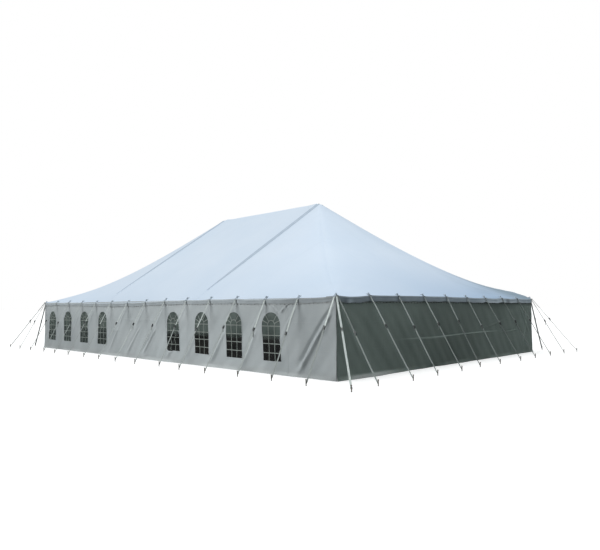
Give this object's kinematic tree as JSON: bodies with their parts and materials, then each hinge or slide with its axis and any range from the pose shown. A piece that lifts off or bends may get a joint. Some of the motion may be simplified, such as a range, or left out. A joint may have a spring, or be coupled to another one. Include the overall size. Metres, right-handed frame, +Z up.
{
  "type": "marquee tent",
  "caption": "Large rectangular pole tent with a peaked white cloth roof, grey side walls with arched windows, and strap guy lines all round.",
  "frame": {"origin": "centre of the plan at ground level", "axes": "+X along the marquee's length, -Y towards the windowed front, +Z up"},
  "size_m": [20.9742, 14.3646, 6.11],
  "materials": {
    "canopy_cloth": "smooth white coated cloth, slightly glossy",
    "wall_cloth": "grey coated cloth, creased",
    "window_sheet": "clear flexible window sheet",
    "pole_metal": "dull metal",
    "strap_webbing": "woven strap webbing"
  },
  "bodies": {
    "root": {"canopy_back_left": "canopy_cloth", "canopy_back_middle": "canopy_cloth", "canopy_back_right": "canopy_cloth", "canopy_end_left_back": "canopy_cloth", "canopy_end_left_front": "canopy_cloth", "canopy_end_right_back": "canopy_cloth", "canopy_end_right_front": "canopy_cloth", "canopy_front_left": "canopy_cloth", "canopy_front_middle": "canopy_cloth", "canopy_front_right": "canopy_cloth", "center_pole_left": "pole_metal", "center_pole_right": "pole_metal", "guy_lines_back": "strap_webbing", "guy_lines_front": "strap_webbing", "guy_lines_left": "strap_webbing", "guy_lines_right": "strap_webbing", "peak_plate_left": "pole_metal", "peak_plate_right": "pole_metal", "seam_flap_back_left": "canopy_cloth", "seam_flap_back_right": "canopy_cloth", "seam_flap_front_left": "canopy_cloth", "seam_flap_front_right": "canopy_cloth", "side_poles_back": "pole_metal", "side_poles_front": "pole_metal", "side_poles_left": "pole_metal", "side_poles_right": "pole_metal", "valance_back": "canopy_cloth", "valance_front": "canopy_cloth", "valance_left": "canopy_cloth", "valance_right": "canopy_cloth", "wall_back_corner": "wall_cloth", "wall_back_middle": "wall_cloth", "wall_back_windows_1": "wall_cloth", "wall_back_windows_2": "wall_cloth", "wall_front_corner": "wall_cloth", "wall_front_middle": "wall_cloth", "wall_front_windows_1": "wall_cloth", "wall_front_windows_2": "wall_cloth", "wall_left": "wall_cloth", "wall_right": "wall_cloth", "window_panes_back_1": "window_sheet", "window_panes_back_2": "window_sheet", "window_panes_front_1": "window_sheet", "window_panes_front_2": "window_sheet"}
  },
  "joints": []
}
